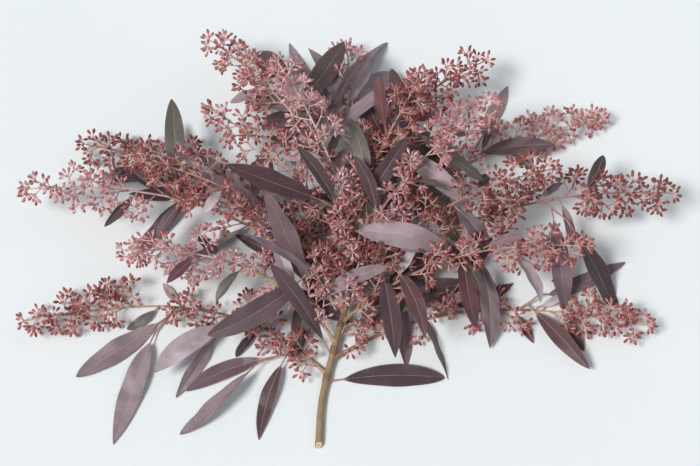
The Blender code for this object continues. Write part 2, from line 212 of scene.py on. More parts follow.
def leaf_places(stem, twigs):
    """Where leaves leave the wood, as (how many, (point, growth, radius, side)), in their order."""
    places = []
    for wood, _, leaves in twigs:
        reach = length_of(wood) - LEAF_STOP
        for n, count in enumerate(leaves):
            distance = share(LEAF_START, reach, n / max(len(leaves) - 1, 1))
            point, growth = at_distance(wood, distance)
            radius = share(TWIG_RADIUS, TWIG_TIP_RADIUS, distance / length_of(wood))
            places.append((count, (point, growth, radius, 1 if (n + len(places)) % 2 else -1)))
    for along, side in STEM_LEAVES:
        point, growth = at_distance(stem, length_of(stem) * along)
        places.append((1, (point, growth, share(STEM_RADIUS, STEM_TIP_RADIUS, along), side)))
    return places


def round_rings(route, radii, sides):
    """A ring of points round each point of a route, turned as little as can be on the way."""
    across = Vector((0.3, 0.2, 1))
    rings = []
    for n, (point, radius) in enumerate(zip(route, radii)):
        heading = (route[min(n + 1, len(route) - 1)] - route[max(n - 1, 0)]).normalized()
        across = (across - heading * across.dot(heading)).normalized()
        other = heading.cross(across)
        turns = [math.tau * k / sides for k in range(sides)]
        rings.append([point + (across * math.cos(t) + other * math.sin(t)) * radius for t in turns])
    return rings


def skin(rings, marks=()):
    """A closed skin through rings of points: a grid laid on them, welded at its seam and filled at
    its ends. Each mark is (name, function of the ring's and the point's number) for a layer."""
    around = len(rings[0])
    body = bmesh.new()
    bmesh.ops.create_grid(body, x_segments=around, y_segments=len(rings) - 1, size=1)
    body.verts.ensure_lookup_table()
    for name, value in marks:
        layers = body.verts.layers
        kinds = layers.float_vector if isinstance(value(0, 0), Vector) else layers.float
        layer = kinds.new(name)
        for n, corner in enumerate(body.verts):
            corner[layer] = value(n // (around + 1), n % (around + 1) % around)
    seam = {}
    for n, corner in enumerate(body.verts):
        row, column = divmod(n, around + 1)
        corner.co = rings[row][column % around]
        if column == around:
            seam[corner] = body.verts[n - around]
    bmesh.ops.weld_verts(body, targetmap=seam)
    bmesh.ops.holes_fill(body, edges=body.edges)
    bmesh.ops.recalc_face_normals(body, faces=body.faces)
    return body


def as_mesh(body):
    mesh = bpy.data.meshes.new("mesh")
    body.to_mesh(mesh)
    body.free()
    return mesh


def joined(meshes):
    """One body from several meshes, which are removed, with every face smooth."""
    whole = bmesh.new()
    for mesh in meshes:
        whole.from_mesh(mesh)
        bpy.data.meshes.remove(mesh)
    for face in whole.faces:
        face.smooth = True
    return whole


def gathered(bodies):
    """One mesh from several bodies, smooth but for its sharp edges."""
    whole = joined(as_mesh(body) for body in bodies)
    for edge in whole.edges:
        edge.smooth = edge.calc_face_angle(0) < SMOOTHEST_EDGE
    return as_mesh(whole)


def add_piece(name, mesh, node, slot, *materials):
    """A piece of the sprig. It stands in the place of a solid of the frame, if one is named."""
    mesh.name = name
    mesh.transform(Matrix.Translation(TO_MIDDLE))
    for material in materials:
        mesh.materials.append(material)
    piece = bpy.data.objects.new(name, mesh)
    bpy.context.scene.collection.objects.link(piece)
    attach(piece, "root")
    if node:
        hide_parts(node)


class Flow:
    """A socket of a material's nodes. Sums of flows and numbers add Math nodes."""

    def __init__(self, tree, socket=None):
        self.tree = tree
        self.socket = socket

    def node(self, kind, settings, inputs, output=0):
        """A node of this kind: its settings first, then the values or flows of its sockets."""
        made = self.tree.nodes.new("ShaderNode" + kind)
        for name, value in settings.items():
            if name == "stops":
                stops = made.color_ramp.elements
                for n, (place, colour) in enumerate(value):
                    # A new ramp has two stops already.
                    stop = stops[n] if n < 2 else stops.new(place)
                    stop.position = place
                    stop.color = colour
            else:
                setattr(made, name, value)
        for name, value in inputs.items():
            if isinstance(value, Flow):
                self.tree.links.new(value.socket, made.inputs[name])
            else:
                made.inputs[name].default_value = value
        return Flow(self.tree, made.outputs[output])

    def maths(self, operation, first, second=0.0):
        return self.node("Math", {"operation": operation}, {0: first, 1: second})

    def __add__(self, other):
        return self.maths("ADD", self, other)

    __radd__ = __add__

    def __mul__(self, other):
        return self.maths("MULTIPLY", self, other)

    __rmul__ = __mul__

    def __sub__(self, other):
        return self.maths("SUBTRACT", self, other)

    def __rsub__(self, other):
        return self.maths("SUBTRACT", other, self)

    def __abs__(self):
        return self.maths("ABSOLUTE", self)


def tone(red, green, blue):
    """A colour given as the screen shows it, from 0 to 255, as the shader takes it."""
    return (*(((c / 255 + 0.055) / 1.055) ** 2.4 for c in (red, green, blue)), 1)


def mark(start, name, output="Fac"):
    return start.node("Attribute", {"attribute_name": name}, {}, output)


def rise(value, low, high):
    """0 below low, 1 above high and a soft slope between them."""
    names = {"Value": value, "From Min": low, "From Max": high}
    return value.node("MapRange", {"interpolation_type": "SMOOTHSTEP"}, names)


def blend(amount, first, second):
    """The first colour where the amount is 0, and the second where it is 1."""
    return amount.node("Mix", {"data_type": "RGBA"}, {0: amount, 6: first, 7: second}, 2)


def noise(start, where, scale, detail=2.0, roughness=0.5):
    names = {"Vector": where, "Scale": scale, "Detail": detail, "Roughness": roughness}
    return start.node("TexNoise", {}, names, "Fac")


def finish(material, colour, roughness, height, depth):
    """Links a colour, a roughness and a height, whose 1 is depth in metres, to the shader."""
    tree = material.node_tree
    shader = tree.nodes["Principled BSDF"]
    bump = colour.node("Bump", {}, {"Height": height, "Distance": depth, "Strength": 1.0})
    for socket, flow in (("Base Color", colour), ("Roughness", roughness), ("Normal", bump)):
        tree.links.new(flow.socket, shader.inputs[socket])
    return material


def new_material(name):
    material = bpy.data.materials.new(name)
    material.use_nodes = True
    return material, Flow(material.node_tree)


def coordinates(start):
    return start.node("TexCoord", {}, {}, "Object")


def stretched(start, where, scale):
    """Coordinates multiplied by a scale for each direction."""
    return start.node("VectorMath", {"operation": "MULTIPLY"}, {0: where, 1: scale}, "Vector")


def bark():
    material, start = new_material("bark")
    grain = mark(start, "grain", "Vector")
    age = mark(start, "age")
    knot = mark(start, "knot")
    streaks = noise(start, stretched(start, grain, (1, 1, 0.07)), 1900, 3)
    patches = noise(start, grain, 90, 2)
    short = stretched(start, grain, (1, 1, 0.38))
    cells = start.node("TexVoronoi", {}, {"Vector": short, "Scale": 640.0}, "Distance")
    pores = (1 - rise(cells, 0.10, 0.24)) * rise(patches, 0.4, 0.6)
    young = blend(rise(patches, 0.3, 0.7), tone(158, 112, 106), tone(176, 138, 118))
    # Each twig has its own place along the grain, so some are pinker and some more olive.
    young = blend(rise(noise(start, grain, 2.2, 0), 0.5, 0.58), young, tone(190, 172, 128))
    old = blend(rise(patches, 0.35, 0.7), tone(166, 140, 112), tone(146, 124, 92))
    colour = blend(rise(age, 0.15, 0.8), young, old)
    colour = blend(rise(streaks, 0.42, 0.7) * 0.55, colour, tone(104, 74, 62))
    colour = blend(pores * 0.5, colour, tone(206, 180, 154))
    # A dark brown ring at each fork: partly the leaf scar, partly painted shade where a twig or a
    # leaf leaves the wood.
    colour = blend(rise(knot, 0.25, 0.9) * 0.5, colour, tone(94, 62, 50))
    height = streaks * 0.5 + pores * 0.35 + patches * 0.3
    return finish(material, colour, 0.62 + streaks * 0.2, height, 0.00035)


def cut_wood():
    material, start = new_material("cut_wood")
    grain = mark(start, "grain", "Vector")
    flat = stretched(start, grain, (1 / STEM_RADIUS, 1 / STEM_RADIUS, 0))
    out = start.node("VectorMath", {"operation": "LENGTH"}, {0: flat}, "Value")
    fibres = noise(start, grain, 2600, 3)
    colour = blend(rise(fibres, 0.3, 0.7), tone(222, 208, 170), tone(204, 186, 144))
    colour = blend(1 - rise(out, 0.12, 0.24), colour, tone(150, 112, 78))
    colour = blend(rise(out, 0.80, 0.88), colour, tone(138, 128, 74))
    colour = blend(rise(out, 0.92, 0.97), colour, tone(112, 78, 62))
    return finish(material, colour, 0.75 + fibres * 0.1, fibres, 0.0001)


def wood_skin(route, radii, sides, ages, knots, start_along=0.0):
    """A tapering branch, with marks for the bark's grain, its age and its knots."""
    far = [start_along]
    for a, b in zip(route, route[1:]):
        far.append(far[-1] + (b - a).length)

    def grain(row, column):
        turn = math.tau * column / sides
        return Vector((math.cos(turn) * radii[row], math.sin(turn) * radii[row], far[row]))

    marks = (
        ("grain", grain),
        ("age", lambda row, _: ages[row]),
        ("knot", lambda row, _: knots[row]),
    )
    return skin(round_rings(route, radii, sides), marks)


def knotted(route, first, last, knots, flare=0.0):
    """The radius and the knot's strength at each point of a branch, with knots this far along."""
    whole = length_of(route)
    radii, strengths = [], []
    far = 0
    for n, point in enumerate(route):
        far += (point - route[n - 1]).length if n else 0
        strength = min(sum(math.exp(-(((far - knot) / KNOT_REACH) ** 2)) for knot in knots), 1)
        collar = flare * math.exp(-((far / COLLAR_REACH) ** 2))
        radii.append(share(first, last, far / whole) * (1 + KNOT_SWELL * strength) + collar)
        strengths.append(strength)
    return radii, strengths


coarse_stem = stem_route(STEM_SAMPLES)
stem_length = length_of(coarse_stem)
twigs = twig_routes(coarse_stem)
places = leaf_places(coarse_stem, twigs)

forks = [along * stem_length for along, _ in STEM_LEAVES]
for wood, _, _ in twigs:
    fork = min(range(len(coarse_stem)), key=lambda n: (coarse_stem[n] - wood[0]).length)
    forks.append(length_of(coarse_stem[: fork + 1]))
fine_stem = stem_route(STEM_FINE_SAMPLES)
radii, knots = knotted(fine_stem, STEM_RADIUS, STEM_TIP_RADIUS, forks)
radii = [min(radius, STEM_RADIUS * 1.06) for radius in radii]
ages = [share(1, 0.35, n / STEM_FINE_SAMPLES) for n in range(len(fine_stem))]
branches = [wood_skin(fine_stem, radii, STEM_SIDES, ages, knots)]
# The middle line of all the wood, which everything that leaves it starts from.
pith = list(fine_stem)
for number, (wood, _, leaves) in enumerate(twigs):
    reach = length_of(wood) - LEAF_STOP
    spots = [share(LEAF_START, reach, n / max(len(leaves) - 1, 1)) for n in range(len(leaves))]
    spots.append(length_of(wood))
    fine = smooth_route(wood, TWIG_FINE_SAMPLES)
    for n, point in enumerate(fine):
        radius = share(TWIG_RADIUS, TWIG_TIP_RADIUS, n / TWIG_FINE_SAMPLES)
        fine[n] = lifted(point, radius - FOOT_DEPTH)
    pith += fine
    radii, knots = knotted(fine, TWIG_RADIUS, TWIG_TIP_RADIUS, spots, TWIG_COLLAR)
    ages = [share(0.5, 0.1, n / TWIG_FINE_SAMPLES) for n in range(len(fine))]
    branches.append(wood_skin(fine, radii, TWIG_SIDES, ages, knots, TWIG_GRAIN_STEP * (number + 1)))
for body in branches:
    for point, way in ((coarse_stem[0] + CUT_STEP * UP, CUT_FACING), (Vector(), -UP)):
        parts = body.verts[:] + body.edges[:] + body.faces[:]
        bmesh.ops.bisect_plane(body, geom=parts, plane_co=point, plane_no=way, clear_outer=True)
        for face in bmesh.ops.holes_fill(body, edges=body.edges)["faces"]:
            face.material_index = 1 if way == CUT_FACING else 0
    bmesh.ops.recalc_face_normals(body, faces=body.faces)
wood_mesh = gathered(branches)
wood_corners = [v.co for v in wood_mesh.vertices]
wood_tree = BVHTree.FromPolygons(wood_corners, [p.vertices for p in wood_mesh.polygons])
add_piece("stem_wood", wood_mesh, "stem", "twig_wood", bark(), cut_wood())

# The leaves: narrow, leathery blades, mauve-grey above and paler beneath, folded along a pale
# midrib, waved and twisted. The midrib runs down into a petiole, which grows from a short side
# shoot, in twos and threes, or straight from the stem.

LEAF_LENGTHS = (52 * MM, 92 * MM)
LEAF_WIDTH_SHARES = (0.2, 0.27)
PETIOLE_LENGTH = 11 * MM
PETIOLE_HALF_WIDTH = 0.75 * MM
PETIOLE_RADIUS = 0.62 * MM
PETIOLE_DEPTH = 0.6 * MM
LEAF_CLEARANCE = 0.9 * MM
# The one leaf that lies on another, the second of the shoot 32, is kept higher.
UPPER_LEAF = 321
UPPER_CLEARANCE = 1.9 * MM
PETIOLE_STEPS = 8
BLADE_STEPS = 40
LEAF_HANG = 0.34
# In degrees: how far leaves and shoots lean off the wood and climb, and how leaves roll, twist
# and fold. The sweep and the droop are how far a blade bends sideways and down over its length.
LEAF_LEANS = (34, 68)
LEAF_CLIMBS = (-35, 40)
SHOOT_LEANS = (38, 66)
SHOOT_CLIMBS = (-30, 40)
LEAF_ROLL = 28
LEAF_TWIST = 30
LEAF_FOLDS = (4, 20)
LEAF_SWEEP = 0.5
LEAF_DROOPS = (0.1, 1.0)
# The height of the waves of an edge against the blade's width, and how drawn out its ends are.
LEAF_WAVES = (0.02, 0.07)
BASE_FORMS = (0.7, 0.9)
TIP_FORMS = (0.64, 1.0)
SHOOT_LENGTHS = (22 * MM, 16 * MM)
SHOOT_CLEARANCE = 1.2 * MM
SHOOT_RADIUS = 0.8 * MM
SHOOT_TIP_RADIUS = 0.7 * MM
SHOOT_SAMPLES = 30
SHOOT_SIDES = 8
# In millimetres: a shoot's radii where it leaves the twig, and the radii and length of its bud.
SHOOT_COLLAR = (1.3, 1.3, 1.16, 1.0, 0.88)
BUD_RADII = (0.55, 0.15)
BUD_LENGTH = 1.6
BLADE_COLUMNS = 8
BLADE_HALF_DEPTH = 0.17 * MM
RIB_HALF_WIDTH = 0.6 * MM
# How each shoot and then each of its leaves stands: the number of the draw that it was given.
# A single number is a leaf on the stem.
STANDS = (
    (0, 0, 1, 0), (0, 1, 0), (0, 0, 0), (1, 1, 1, 0), (0, 0, 0), (0, 2, 0), (0, 0, 0, 14),
    (0, 2, 0), (0, 0, 1), (0, 0, 0, 1), (0, 1, 0), (0, 0, 0), (0, 0, 3, 0), (3, 5, 5),
    (2, 5, 7), (0, 0, 3, 18), (1, 5, 13), (7, 51, 16), (0, 0, 6, 0), (3, 2, 32), (0, 0, 8),
    (0, 1, 0, 0), (0, 0, 1), (0, 0, 2), (0, 0, 2, 0), (1, 0, 0), (1, 16, 0), (0, 33, 6),
    (0, 0, 1), (0, 0, 0), (0, 0, 2), (0, 1, 2), (1, 1, 3), (0, 0, 4), (0, 3, 12),
    (18,), (6,), (1,), (44,), (0,), (4,),
)


def leaving(draw, place, leans, climbs):
    """The direction and the starting point of something that leaves the wood at a place."""
    point, growth, radius, side = place
    lean = math.radians(draw.uniform(*leans))
    climb = math.radians(draw.uniform(*climbs))
    sideways = growth.cross(UP).normalized() * side
    outward = sideways * math.cos(climb) + UP * math.sin(climb)
    heading = growth * math.cos(lean) + outward * math.sin(lean)
    heading = (heading + Vector((0, -LEAF_HANG * (1 - growth.y), 0))).normalized()
    if radius:
        off = (heading - growth * heading.dot(growth)).normalized()
        slant = abs(heading.dot(growth))
        point = point + off * (radius + JOINT_GAP + PETIOLE_HALF_WIDTH * slant)
    return point, heading


def shoot_route(number, attempt, count, place):
    draw = random.Random(7000 + 100 * number + attempt)
    point, heading = leaving(draw, place, SHOOT_LEANS, SHOOT_CLIMBS)
    length = SHOOT_LENGTHS[0] + SHOOT_LENGTHS[1] * (count - 2)
    bend = Vector((draw.uniform(-0.3, 0.3), draw.uniform(-0.3, 0.3), draw.uniform(-0.5, 0.1)))
    end = point + (heading + 0.5 * bend) * length
    route = arc_route(point, point + heading * 0.5 * length, end, count + 1)
    return [lifted(p, SHOOT_CLEARANCE) for p in route]


def shoot_places(count, route):
    places = []
    whole = length_of(route)
    for n in range(count):
        point, growth = at_distance(route, whole * share(1, 0.3, n / max(count - 1, 1)))
        places.append((point, growth, 0, (0, 1, -1)[n] if n < 3 else 1))
    return places


def clearance_of(number):
    return UPPER_CLEARANCE if number == UPPER_LEAF else LEAF_CLEARANCE


def leaf_line(number, attempt, place, size=1.0):
    """A leaf's centre line in small steps: (point, heading, direction across) at each."""
    form = random.Random(1000 + number)
    stand = random.Random(1000 * number + attempt)
    length = share(*LEAF_LENGTHS, form.random()) * size
    sweep = form.uniform(-LEAF_SWEEP, LEAF_SWEEP)
    twist = math.radians(form.uniform(-LEAF_TWIST, LEAF_TWIST))
    point, heading = leaving(stand, place, LEAF_LEANS, LEAF_CLIMBS)
    roll = math.radians(stand.gauss(0, LEAF_ROLL))
    droop = stand.uniform(*LEAF_DROOPS)
    across = heading.cross(UP).normalized()
    across = Quaternion(heading, roll) @ across
    line = []
    for n in range(PETIOLE_STEPS + BLADE_STEPS + 1):
        along = max(n - PETIOLE_STEPS, 0) / BLADE_STEPS
        across = (across - heading * across.dot(heading)).normalized()
        line.append((point.copy(), heading.copy(), Quaternion(heading, twist * along) @ across))
        step = length / BLADE_STEPS if n >= PETIOLE_STEPS else PETIOLE_LENGTH * size / PETIOLE_STEPS
        bend = across * sweep - UP * droop
        heading = (heading + bend * step / length).normalized()
        point = point + heading * step
        if point.z < clearance_of(number):
            point.z = clearance_of(number)
            heading = Vector((heading.x, heading.y, max(heading.z, 0))).normalized()
    return line


def leaf_outline(along, base, tip):
    """A leaf's width at this share of its length, as a share of its widest place."""
    widest = base / (base + tip)
    return (along / widest) ** base * ((1 - along) / (1 - widest)) ** tip


def leaf_skin(number, attempt, place, root, size=1.0):
    """One leaf. Round on the petiole, it flattens into a thin blade with a rib underneath."""
    form = random.Random(2000 + number)
    length = share(*LEAF_LENGTHS, random.Random(1000 + number).random()) * size
    half_width = length * form.uniform(*LEAF_WIDTH_SHARES) / 2 * size**-0.35
    fold = math.radians(form.uniform(*LEAF_FOLDS))
    wave = form.uniform(*LEAF_WAVES) * half_width * 2
    phase = form.uniform(0, math.tau)
    tint = form.random()
    base, tip = form.uniform(*BASE_FORMS), form.uniform(*TIP_FORMS)
    line = leaf_line(number, attempt, place, size)
    point, heading, across = line[0]
    rows = [(root, heading, across, 0.0, 1.5)]
    for n in range(len(line)):
        along = max(n - PETIOLE_STEPS, 0) / BLADE_STEPS
        if n % 2 == 0 or n > PETIOLE_STEPS and size == 1:
            rows.append((*line[n], along, 1 + 0.5 * math.exp(-n / 1.8)))
    rings, columns = [], []
    for point, heading, across, along, swell in rows:
        normal = across.cross(heading)
        flat = eased(along / 0.1)
        blade = leaf_outline(along, base, tip)
        half = math.hypot(half_width * blade, PETIOLE_RADIUS * swell * (1 - along))
        rib = min(RIB_HALF_WIDTH / max(half, 0.1 * MM), 0.35)
        spread = (-1, -0.82, -0.5, -rib, 0, rib, 0.5, 0.82, 1)
        upper, lower, column = [], [], []
        for k in range(BLADE_COLUMNS + 1):
            turn = math.pi * k / BLADE_COLUMNS
            side = share(-math.cos(turn), spread[k], flat)
            thin = BLADE_HALF_DEPTH * (1 - abs(side) ** 5) * min(1, (1 - along) * 8)
            middle = (k == BLADE_COLUMNS // 2) * (1 - along) * MM
            thick = PETIOLE_DEPTH * swell * math.sin(turn)
            ripple = wave * math.sin(phase + 15 * along + 2 * side) * abs(side) * blade
            raised = half * math.sin(fold) * abs(side) ** 1.25 * flat + ripple
            spot = point + across * side * half * math.cos(fold) + normal * raised
            spot = lifted(spot, clearance_of(number))
            upper.append(spot + normal * share(thick, thin - 0.1 * middle, flat))
            lower.append(spot - normal * share(thick, thin + 0.34 * middle, flat))
            column.append(side)
        rings.append(upper + lower[-2:0:-1])
        columns.append((column + column[-2:0:-1], along, half))
    marks = (
        ("across", lambda row, column: columns[row][0][column]),
        ("along", lambda row, _: columns[row][1]),
        ("half_mm", lambda row, _: columns[row][2] / MM),
        ("tint", lambda *_: tint),
        ("under", lambda _, column: float(column > BLADE_COLUMNS)),
        ("stalk", lambda row, _: 1 - eased(columns[row][1] / 0.05)),
    )
    return skin(rings, marks)


def shoot_line(root, route):
    """A side shoot's middle line, from inside the twig to its small end bud."""
    tip = route[-1] + (route[-1] - route[-2]).normalized() * BUD_LENGTH * MM
    return smooth_route([root, *route, tip], SHOOT_SAMPLES)


def shoot_skin(fine):
    radii = [share(SHOOT_RADIUS, SHOOT_TIP_RADIUS, n / SHOOT_SAMPLES) for n in range(len(fine))]
    for n, collar in enumerate(SHOOT_COLLAR):
        radii[n] = min(collar * MM, fine[0].z)
    radii[-2:] = [radius * MM for radius in BUD_RADII]
    marks = (("stalk", lambda *_: 1.0), ("tint", lambda *_: 0.5), ("along", lambda *_: 0.0))
    return skin(round_rings(fine, radii, SHOOT_SIDES), marks)


def leaf_finish():
    material, start = new_material("leaf_blade")
    where = coordinates(start)
    across = mark(start, "across")
    along = mark(start, "along")
    half = mark(start, "half_mm")
    tint = mark(start, "tint")
    stalk = mark(start, "stalk")
    under = rise(mark(start, "under"), 0.4, 0.6)
    off = abs(across)
    off_mm = off * half
    clouds = noise(start, where, 55, 3, 0.55)
    speckle = noise(start, where, 900, 2)
    rib = (1 - rise(off_mm, 0.1, 0.4)) * (1 - rise(along, 0.5, 1.0) * 0.75)
    # Side veins leave the rib at a slant and end in one that follows the edge.
    slanted = along * 24 - off_mm * 0.42 + noise(start, where, 170, 1) * 0.5
    veins = abs(slanted.maths("FRACT", slanted) - 0.5) * 2
    veins = rise(veins, 0.86, 1.0) * rise(off_mm, 0.4, 0.9)
    edge_mm = (1 - off) * half
    rim_vein = rise(edge_mm, 0.5, 0.75) * (1 - rise(edge_mm, 0.75, 1.05))
    rim = 1 - rise(edge_mm, 0.12, 0.38)
    # A tone for each leaf, drawn at random. The near-white lilac stop is a painted highlight,
    # leaves painted as if they catch the light; the two darkest stops are partly dark plum leaves
    # and partly painted shade, as deep in a bunch.
    stops = (
        (0.0, tone(46, 30, 33)),
        (0.16, tone(76, 56, 60)),
        (0.35, tone(122, 101, 107)),
        (0.58, tone(178, 160, 166)),
        (0.68, tone(212, 199, 205)),
        (0.74, tone(112, 69, 74)),
        (0.84, tone(72, 43, 45)),
        (0.9, tone(98, 96, 86)),
    )
    base = start.node("ValToRGB", {"stops": stops}, {"Fac": tint}, "Color")
    upper = blend(rise(clouds, 0.32, 0.68) * 0.42, base, tone(84, 62, 66))
    upper = blend(rise(speckle, 0.5, 0.78) * 0.16, upper, tone(178, 158, 166))
    lower = blend(rise(clouds, 0.3, 0.7), tone(172, 148, 153), tone(144, 117, 123))
    colour = blend(under, upper, lower)
    colour = blend(veins * 0.14 + rim_vein * 0.12, colour, tone(184, 152, 156))
    colour = blend(rib * share(0.24, 0.46, rise(clouds, 0.3, 0.6)), colour, tone(204, 176, 174))
    colour = blend(rim * 0.4, colour, tone(138, 84, 88))
    colour = blend(rise(along, 0.93, 1.0) * 0.6, colour, tone(84, 54, 52))
    petiole = blend(rise(clouds, 0.35, 0.65), tone(164, 116, 110), tone(180, 142, 118))
    colour = blend(stalk, colour, petiole)
    roughness = 0.4 + clouds * 0.14 + under * 0.14 + speckle * 0.06
    height = veins * 0.25 + rim_vein * 0.12 + speckle * 0.2 + clouds * 0.3
    height = height - rib * 0.6 * (1 - under * 2)
    return finish(material, colour, roughness, height * (1 - stalk), 0.00022)


# Where small leaves stand: so far from the foot of the spray, and at this share of the twig.
SMALL_LEAF_OFFSETS = (-13 * MM, 5 * MM, 27 * MM)
SMALL_LEAF_SHARE = 0.45
SMALL_LEAF_SIZES = (0.36, 0.55)
SMALL_LEAF_TRIES = 12
SMALL_LEAF_ROOT_RADIUS = 1.1 * MM
# The first rings of a small leaf, which may touch the wood that it grows from.
SMALL_LEAF_FOOT_RINGS = 4


def small_leaves(number, axis, wood, others):
    """Small leaves at the foot of a spray, each in the first way of standing that has room."""
    draw = random.Random(90 + number)
    bodies = []
    route = stretch(wood + axis[1:], 0, length_of(wood + axis[1:]), 200)
    start = length_of(wood)
    distances = [start + offset for offset in SMALL_LEAF_OFFSETS] + [start * SMALL_LEAF_SHARE]
    for n, distance in enumerate(distances):
        point, growth = at_distance(route, distance)
        place = (point, growth, SMALL_LEAF_ROOT_RADIUS, 1 if (number + n) % 2 else -1)
        size = draw.uniform(*SMALL_LEAF_SIZES)
        for attempt in range(SMALL_LEAF_TRIES):
            body = leaf_skin(1000 + 10 * number + n, attempt, place, nearest(route, point), size)
            foot = 2 * BLADE_COLUMNS * SMALL_LEAF_FOOT_RINGS
            corners = [corner.co for corner in body.verts]
            body.verts.index_update()
            faces = [[corner.index for corner in face.verts] for face in body.faces]
            tree = BVHTree.FromPolygons(corners, faces)
            beyond = BVHTree.FromPolygons(corners, [face for face in faces if min(face) > foot])
            if beyond.overlap(wood_tree) or any(tree.overlap(other) for other in others):
                body.free()
            else:
                bodies.append(body)
                others.append(tree)
                break
    return bodies


def add_leaves(name, bodies, node):
    """A piece of leaves, whose faces are kept, so that the nuts can stay clear of them."""
    mesh = gathered(bodies)
    first = len(leaf_corners)
    leaf_corners.extend(v.co.copy() for v in mesh.vertices)
    leaf_faces.extend([first + n for n in p.vertices] for p in mesh.polygons)
    add_piece(name, mesh, node, "leaf", leaf_material)


leaf_material = leaf_finish()
leaf_corners, leaf_faces = [], []
for number, ((count, place), stand) in enumerate(zip(places, STANDS), 1):
    if count == 1:
        bodies = [leaf_skin(10 * number, stand[0], place, nearest(pith, place[0]))]
        node = f"leaf_{number:02d}"
    else:
        route = shoot_route(number, stand[0], count, place)
        line = shoot_line(nearest(pith, place[0]), route)
        bodies = [shoot_skin(line)]
        for n, spot in enumerate(shoot_places(count, route)):
            bodies.append(leaf_skin(10 * number + n, stand[n + 1], spot, nearest(line, spot[0])))
        node = f"leafy_shoot_{number:02d}"
    add_leaves(node + "_blades", bodies, node)
leaf_trees = [BVHTree.FromPolygons(leaf_corners, leaf_faces)]
for number, (wood, axis, _) in enumerate(twigs, 1):
    add_leaves(f"small_leaves_{number:02d}", small_leaves(number, axis, wood, leaf_trees), None)
leaf_tree = BVHTree.FromPolygons(leaf_corners, leaf_faces)

# The sprays: each twig ends in a thin axis with pale pink side stalks, and every stalk carries
# small umbels of gum nuts. A nut is a woody cup on a short stalk of its own, widest at its rim,
# under a pointed cap. They are powdery, from dusky pink to brick red, and a few are still green.

STALKS_PER_SPRAY = 14
STALK_TURN = math.radians(137.5)
# Where the first and the last side stalk leave the axis, as shares of its length.
STALK_PLACES = (0.1, 0.93)
STALK_LENGTHS = (25 * MM, 7 * MM)
STALK_LEAN = math.radians(52)
STALK_SAG = 0.07
HEAD_CLEARANCE = 8.5 * MM
STALK_STEPS = 4
STALK_SIDES = 5
# In millimetres: the radius of a stalk at its ends and of the knob that its nuts sit on.
STALK_RADII = (0.55, 0.46)
KNOB_RADIUS = 0.9
AXIS_FINE_SAMPLES = 48
AXIS_SIDES = 8
AXIS_RADII = (0.88, 0.55)
# Where short stalks branch off a long one, from its end down, their lengths in millimetres and
# the turn from one to the next in radians. A long stalk has one for so much of its length.
BRANCHLET_PLACES = (0.76, 0.56, 0.38, 0.24)
BRANCHLET_LENGTHS = (6.5, 9.5)
BRANCHLET_TURN = 2.6
BRANCHLET_EVERY = 5.6 * MM
BARE_LENGTH = 2.5 * MM
# A stalk straight on a twig: lengths in millimetres, spacing, tries and widest turn in radians.
SIDE_STALK_LENGTHS = (13, 24)
SIDE_STALK_EVERY = 11 * MM
SIDE_STALK_TRIES = 14
SIDE_STALK_TURN = 1.3
NUT_LEAN = math.radians(50)
# Up to four more nuts of an umbel are shorter. The first is on top and the others lean right out.
TOP_LEANS = (0, 10)
OUT_LEANS = (72, 88)
MISSING_SHARE = 0.3
NUT_SIZES = (0.9, 1)
EXTRA_NUT_SIZES = (0.78, 0.94)
NUT_LENGTH = 9.2 * MM
NUT_CLEARANCE = 2.4 * MM
NUT_SIDES = 7
# Distance from the umbel's centre and radius, both in millimetres.
NUT_FORM = (
    (0.0, 0.46),
    (3.2, 0.34),
    (4.2, 0.66),
    (5.5, 1.16),
    (6.8, 1.46),
    (7.05, 1.3),
    (8.35, 0.97),
    (9.2, 0.18),
)
# The room between the middles of two nuts, and what a nut's belly, the rest of a nut and a stalk
# on a twig keep from the leaves and the wood. A spray's own stalks keep theirs from the leaves.
NUT_ROOM = 2.35 * MM
BELLY_ROOM = 1.7 * MM
TIP_ROOM = 0.5 * MM
SIDE_STALK_ROOM = 1.1 * MM
STALK_ROOM = 0.9 * MM
# The steps along a line in which its room is looked at.
ROOM_STEP = 0.8 * MM
# The mean ripeness of the palest and the reddest spray, and how much its nuts vary.
RIPENESS = (0.06, 0.96)
RIPENESS_SPREAD = 0.16
GREEN_SHARE = 0.012


def stalk_ends(axis):
    """The root and end of each stalk of a spray, and of the umbel on its tip."""
    whole = length_of(axis)
    ends = []
    for n in range(STALKS_PER_SPRAY):
        place = n / (STALKS_PER_SPRAY - 1)
        root, growth = at_distance(axis, whole * share(*STALK_PLACES, place))
        turn = n * STALK_TURN
        aside = Vector((math.cos(turn), math.sin(turn), 0)) * math.sin(STALK_LEAN)
        way = growth.to_track_quat("Z", "Y") @ (aside + UP * math.cos(STALK_LEAN))
        end = root + way * share(*STALK_LENGTHS, place**0.8)
        ends.append((root, lifted(end, HEAD_CLEARANCE)))
    tip, growth = at_distance(axis, whole)
    ends.append((tip - growth * MM, tip + growth * 3 * MM))
    return ends


def bowed(root, end, draw):
    length = (end - root).length
    sag = Vector((draw.uniform(-1, 1), draw.uniform(-1, 1), draw.uniform(-1, 0.3)))
    control = root.lerp(end, 0.5) + sag * length * STALK_SAG
    beyond = end + (end - root).normalized() * 0.5 * MM
    return arc_route(root, control, beyond, STALK_STEPS)


def branchlets(stalk, draw):
    """Short side stalks on a long one, each for an umbel of its own."""
    length = length_of(stalk)
    turn = draw.uniform(0, math.tau)
    found = []
    count = int((length - BARE_LENGTH) / BRANCHLET_EVERY)
    for n, at in enumerate(BRANCHLET_PLACES[:count]):
        spot, heading = at_distance(stalk, length * at)
        angle = turn + n * BRANCHLET_TURN
        aside = Vector((math.cos(angle), math.sin(angle), 0))
        way = heading.to_track_quat("Z", "Y") @ (aside * 0.86 + UP * 0.5)
        end = lifted(spot + way * draw.uniform(*BRANCHLET_LENGTHS) * MM, HEAD_CLEARANCE)
        found.append(bowed(spot, end, draw))
    return found


